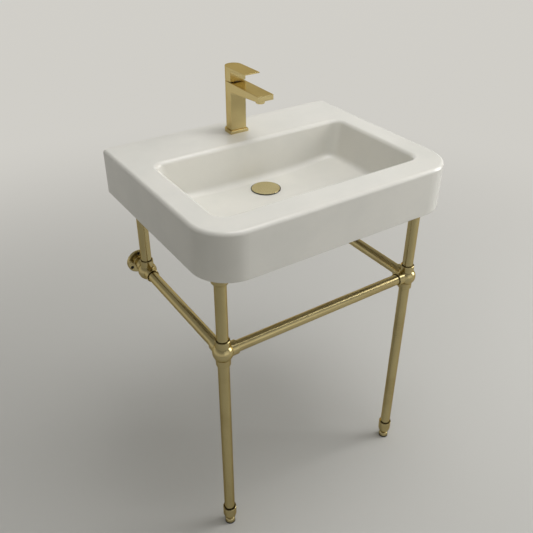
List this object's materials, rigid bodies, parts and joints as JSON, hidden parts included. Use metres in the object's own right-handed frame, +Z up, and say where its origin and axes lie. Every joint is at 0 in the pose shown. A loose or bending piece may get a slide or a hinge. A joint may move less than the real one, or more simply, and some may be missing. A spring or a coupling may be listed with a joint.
{
  "type": "console wash basin",
  "caption": "Ceramic console basin with a lever tap and pop-up drain, carried by a tubular metal frame with front legs, wall flanges and levelling feet.",
  "frame": {"origin": "on the floor, in the middle of the basin's width and depth", "axes": "+X to the right seen from the front, +Y towards the wall, +Z up"},
  "size_m": [0.614, 0.48, 1.013],
  "materials": {
    "glazed_ceramic": "white gloss glaze",
    "satin_brass": "satin, pale gold",
    "raw_brass": "turned, uncoated",
    "steel": "zinc plated",
    "black_rubber": "matt black",
    "white_plastic": "moulded"
  },
  "bodies": {
    "stand": {"aerator_housing": "satin_brass", "aerator_insert": "white_plastic", "basin": "glazed_ceramic", "cartridge_body": "white_plastic", "cartridge_nut": "raw_brass", "drain_body": "satin_brass", "drain_friction_washer": "white_plastic", "drain_gasket": "black_rubber", "drain_lock_nut": "raw_brass", "drain_tailpiece": "satin_brass", "drain_under_gasket": "black_rubber", "foot_cup_left": "satin_brass", "foot_cup_right": "satin_brass", "front_fitting_left": "satin_brass", "front_fitting_right": "satin_brass", "front_rail": "satin_brass", "front_top_cup_left": "satin_brass", "front_top_cup_right": "satin_brass", "lower_leg_left": "satin_brass", "lower_leg_right": "satin_brass", "rear_fitting_left": "satin_brass", "rear_fitting_right": "satin_brass", "rear_post_left": "satin_brass", "rear_post_right": "satin_brass", "rear_top_cup_left": "satin_brass", "rear_top_cup_right": "satin_brass", "side_rail_left": "satin_brass", "side_rail_right": "satin_brass", "stud_plugs": "white_plastic", "tailpiece_nut": "satin_brass", "tailpiece_seal": "black_rubber", "tap_base_plate": "satin_brass", "tap_body": "satin_brass", "tap_clamp_plate": "steel", "tap_gasket": "black_rubber", "tap_rubber_washer": "black_rubber", "tap_shank": "raw_brass", "tap_stud": "steel", "tap_stud_nut": "raw_brass", "top_cup_washers": "black_rubber", "upper_leg_left": "satin_brass", "upper_leg_right": "satin_brass", "wall_flange_left": "satin_brass", "wall_flange_right": "satin_brass"},
    "lever_carrier": {"cartridge_turret": "white_plastic", "lever_pivot_pin": "steel"},
    "lever": {"lever_handle": "satin_brass", "lever_stem": "steel", "lever_grub_screw": "steel"},
    "cap": {"drain_cap": "satin_brass", "drain_cap_seal": "black_rubber", "drain_cap_stop_nut": "raw_brass"},
    "foot_left": {"levelling_foot_left": "satin_brass", "foot_pad_left": "black_rubber"},
    "foot_right": {"levelling_foot_right": "satin_brass", "foot_pad_right": "black_rubber"}
  },
  "joints": [
    {"name": "lever_swivel", "type": "hinge", "parent": "stand", "child": "lever_carrier", "pos_m": [0, 0.1815, 0.973], "axis": [0, 0, 1], "range_deg": [-45, 45]},
    {"name": "lever_tilt", "type": "hinge", "parent": "lever_carrier", "child": "lever", "pos_m": [0, 0.1815, 0.973], "axis": [-1, 0, 0], "range_deg": [0, 20]},
    {"name": "drain_pop_up", "type": "slide", "parent": "stand", "child": "cap", "axis": [0, 0, 1], "range_m": [0, 0.009]},
    {"name": "foot_left_level", "type": "slide", "parent": "stand", "child": "foot_left", "axis": [0, 0, -1], "range_m": [0, 0.012]},
    {"name": "foot_right_level", "type": "slide", "parent": "stand", "child": "foot_right", "axis": [0, 0, -1], "range_m": [0, 0.012]}
  ]
}
